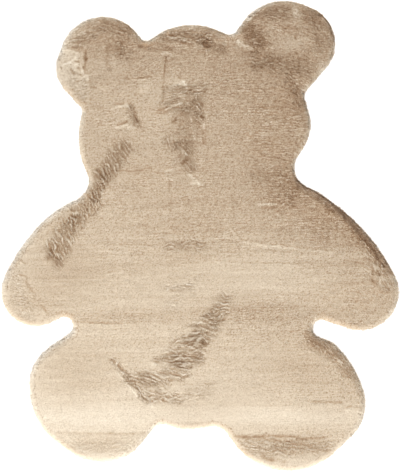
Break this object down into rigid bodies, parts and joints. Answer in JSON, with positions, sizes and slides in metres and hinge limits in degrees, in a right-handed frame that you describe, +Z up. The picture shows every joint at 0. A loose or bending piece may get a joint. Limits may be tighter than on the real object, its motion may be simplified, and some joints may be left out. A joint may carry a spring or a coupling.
{
  "type": "bear shaped kids rug",
  "caption": "Small plush floor rug cut to the outline of a bear, with round ears, arms and feet, a rounded pile rim and a thin felt backing.",
  "frame": {"origin": "on the floor, under the middle of the rug's bounding box", "axes": "+X towards the bear's side at the right of the picture, +Y towards the head and ears, +Z up, out of the pile"},
  "size_m": [0.8458, 1.0019, 0.0183],
  "materials": {
    "plush_pile": "short dense plush in warm beige, soft sheen along the nap, darker at the roots",
    "felt": "matt grey-beige felt"
  },
  "bodies": {
    "root": {"plush_pile_cloth": "plush_pile", "felt_backing": "felt"}
  },
  "joints": []
}
